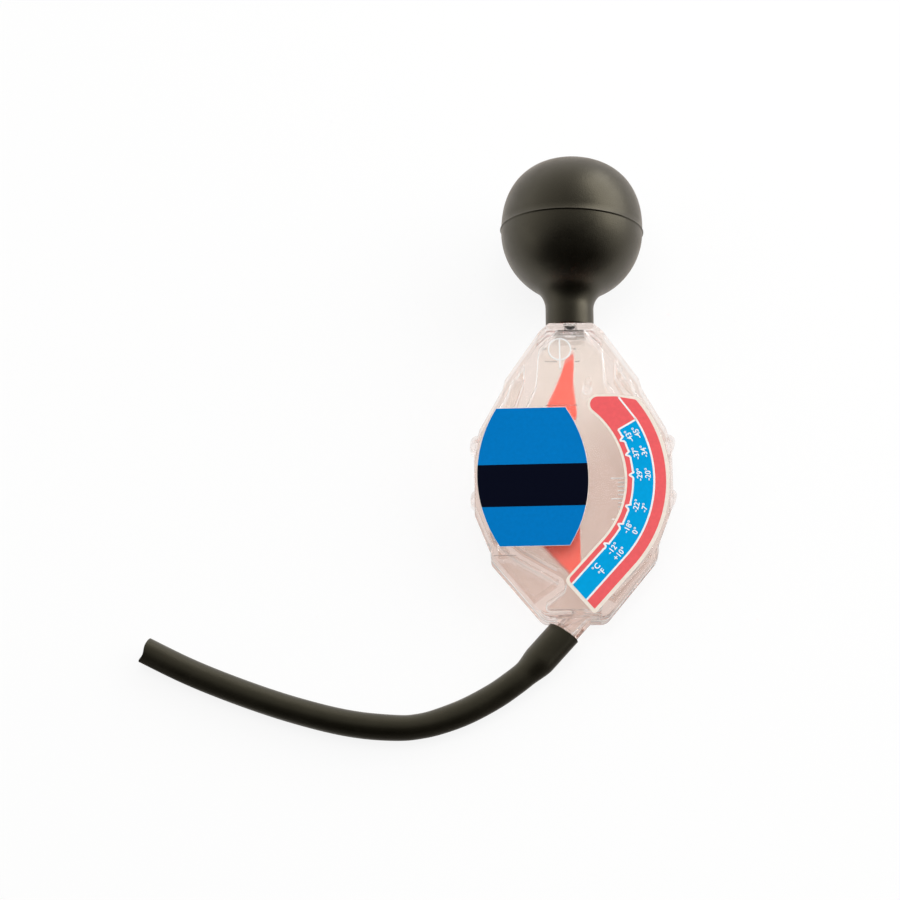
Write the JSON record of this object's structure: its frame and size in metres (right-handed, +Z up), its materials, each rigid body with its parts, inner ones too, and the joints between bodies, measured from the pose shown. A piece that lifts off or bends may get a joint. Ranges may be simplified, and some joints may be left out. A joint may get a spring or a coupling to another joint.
{
  "type": "antifreeze tester",
  "caption": "Hand-held coolant tester: rubber squeeze bulb on a clear flat dial housing with a swinging red pointer, printed labels and a rubber pick-up hose.",
  "frame": {"origin": "on the floor under the middle of the tester's box, hose left out", "axes": "+X to the right of the printed face, +Y along the tester toward the bulb, +Z up; it lies on its back on the bulb and the foot edge"},
  "size_m": [0.1885, 0.211, 0.0508],
  "materials": {
    "clear_plastic": "clear, polished",
    "bulb_rubber": "satin",
    "red_plastic": "satin",
    "brass": "turned",
    "pin_steel": "ground",
    "main_label_film": "printed film",
    "scale_label_film": "printed film",
    "hose_rubber": "satin"
  },
  "bodies": {
    "housing": {"front_shell": "clear_plastic", "rear_shell": "clear_plastic", "pivot_pin": "pin_steel", "level_marker": "red_plastic", "main_label": "main_label_film", "scale_label": "scale_label_film", "hose": "hose_rubber"},
    "pointer": {"pointer": "red_plastic", "balance_weight": "brass"},
    "bulb": {"bulb": "bulb_rubber"}
  },
  "joints": [
    {"name": "pointer_swing", "type": "hinge", "parent": "housing", "child": "pointer", "pos_m": [-0.014, -0.02772, 0.01424], "axis": [0, -0.1184, 0.993], "range_deg": [-3, 123]},
    {"name": "bulb_squeeze", "type": "slide", "parent": "housing", "child": "bulb", "axis": [0, -0.993, -0.1184], "range_m": [0, 0.016], "stiffness_N_per_m": 900, "deforming": ["bulb"]}
  ]
}
